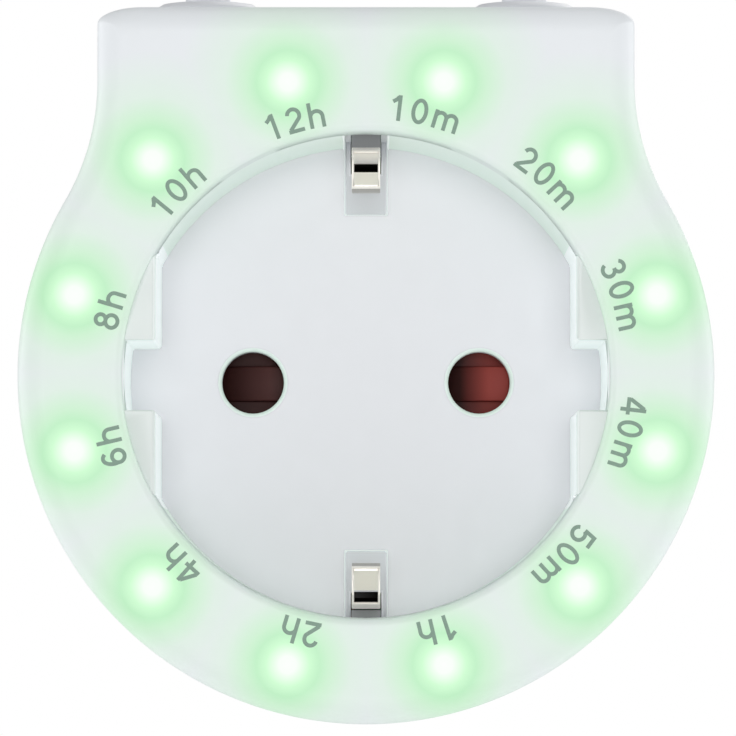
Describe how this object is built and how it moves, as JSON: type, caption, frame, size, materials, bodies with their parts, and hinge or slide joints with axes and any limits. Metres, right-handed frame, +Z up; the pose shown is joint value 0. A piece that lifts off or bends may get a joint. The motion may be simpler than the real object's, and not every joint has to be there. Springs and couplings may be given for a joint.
{
  "type": "plug-in timer switch",
  "caption": "Plug-in countdown timer: plug body behind, round earthed socket in front, a ring of green lights around it and two push buttons on top.",
  "frame": {"origin": "on the plug's axis, in the plane of the rear face that meets the wall", "axes": "+X to the right seen from the front, +Y into the wall along the plug pins, +Z up"},
  "size_m": [0.057, 0.0792, 0.0613],
  "materials": {
    "housing_white": "fine matt moulded, white",
    "socket_white": "smooth moulded, white",
    "carrier_grey": "moulded, dark grey",
    "carrier_ivory": "moulded, ivory",
    "shutter_red": "glossy moulded, dark red",
    "button_grey": "satin moulded, grey",
    "plunger_white": "moulded, white",
    "spring_steel": "drawn wire",
    "screw_zinc": "zinc plated",
    "earth_nickel": "nickel plated strip",
    "pin_nickel": "nickel plated, turned",
    "contact_brass": "bare strip",
    "busbar_copper": "bare copper strip",
    "coil_copper": "enamelled winding",
    "relay_iron": "nickel plated iron",
    "relay_blue": "moulded, blue",
    "board_green": "green solder mask",
    "part_black": "moulded, black",
    "part_grey": "moulded, dark grey",
    "film_yellow": "moulded, yellow",
    "varistor_blue": "dipped coating, blue",
    "fuse_brown": "moulded, brown",
    "resistor_tan": "dipped coating, tan",
    "light_green": "clear green lens",
    "ribbon_grey": "flexible sheath, grey"
  },
  "bodies": {
    "root": {"front_housing": "housing_white", "rear_housing": "housing_white", "socket_cup": "socket_white", "contact_carrier": "carrier_grey", "shutter_spring": "spring_steel", "carrier_screws": "screw_zinc", "live_contact": "contact_brass", "neutral_contact": "contact_brass", "front_earth_strap": "earth_nickel", "rear_earth_strap": "earth_nickel", "earth_link": "screw_zinc", "pin_carrier": "carrier_ivory", "live_plug_pin": "pin_nickel", "neutral_plug_pin": "pin_nickel", "live_busbar": "busbar_copper", "neutral_busbar": "busbar_copper", "main_board": "board_green", "main_board_screws": "screw_zinc", "relay_base": "part_black", "relay_coil": "coil_copper", "relay_yoke": "relay_iron", "relay_fixed_contact": "contact_brass", "relay_cover": "relay_blue", "film_capacitor": "film_yellow", "electrolytic_capacitor": "part_black", "varistor": "varistor_blue", "fuse": "fuse_brown", "rectifier_diodes": "part_grey", "resistors": "resistor_tan", "transistor": "part_black", "microcontroller": "part_black", "led_board": "board_green", "led_board_screws": "screw_zinc", "button_board": "board_green", "button_board_screws": "screw_zinc", "left_switch_body": "part_black", "right_switch_body": "part_black", "led_ribbon": "ribbon_grey", "button_ribbon": "ribbon_grey", "housing_screws": "screw_zinc", "led_01": "light_green", "led_02": "light_green", "led_03": "light_green", "led_04": "light_green", "led_05": "light_green", "led_06": "light_green", "led_07": "light_green", "led_08": "light_green", "led_09": "light_green", "led_10": "light_green", "led_11": "light_green", "led_12": "light_green"},
    "shutter": {"shutter_slider": "shutter_red"},
    "left_button": {"left_button_cap": "button_grey", "left_switch_plunger": "plunger_white"},
    "right_button": {"right_button_cap": "button_grey", "right_switch_plunger": "plunger_white"},
    "armature": {"relay_armature": "relay_iron"}
  },
  "joints": [
    {"name": "shutter_slide", "type": "slide", "parent": "root", "child": "shutter", "axis": [1, 0, 0], "range_m": [0, 0.0056], "stiffness_N_per_m": 150, "springref_m": -0.001, "deforming": ["shutter_spring"]},
    {"name": "left_button_press", "type": "slide", "parent": "root", "child": "left_button", "axis": [0, 0, -1], "range_m": [0, 0.0004], "stiffness_N_per_m": 1500, "springref_m": -0.0002},
    {"name": "right_button_press", "type": "slide", "parent": "root", "child": "right_button", "axis": [0, 0, -1], "range_m": [0, 0.0004], "stiffness_N_per_m": 1500, "springref_m": -0.0002},
    {"name": "armature_tilt", "type": "hinge", "parent": "root", "child": "armature", "pos_m": [-0.0076, -0.0152, 0.01095], "axis": [0, 0, 1], "range_deg": [0, 2.2], "stiffness_Nm_per_rad": 0.04, "springref_deg": -1.15}
  ]
}
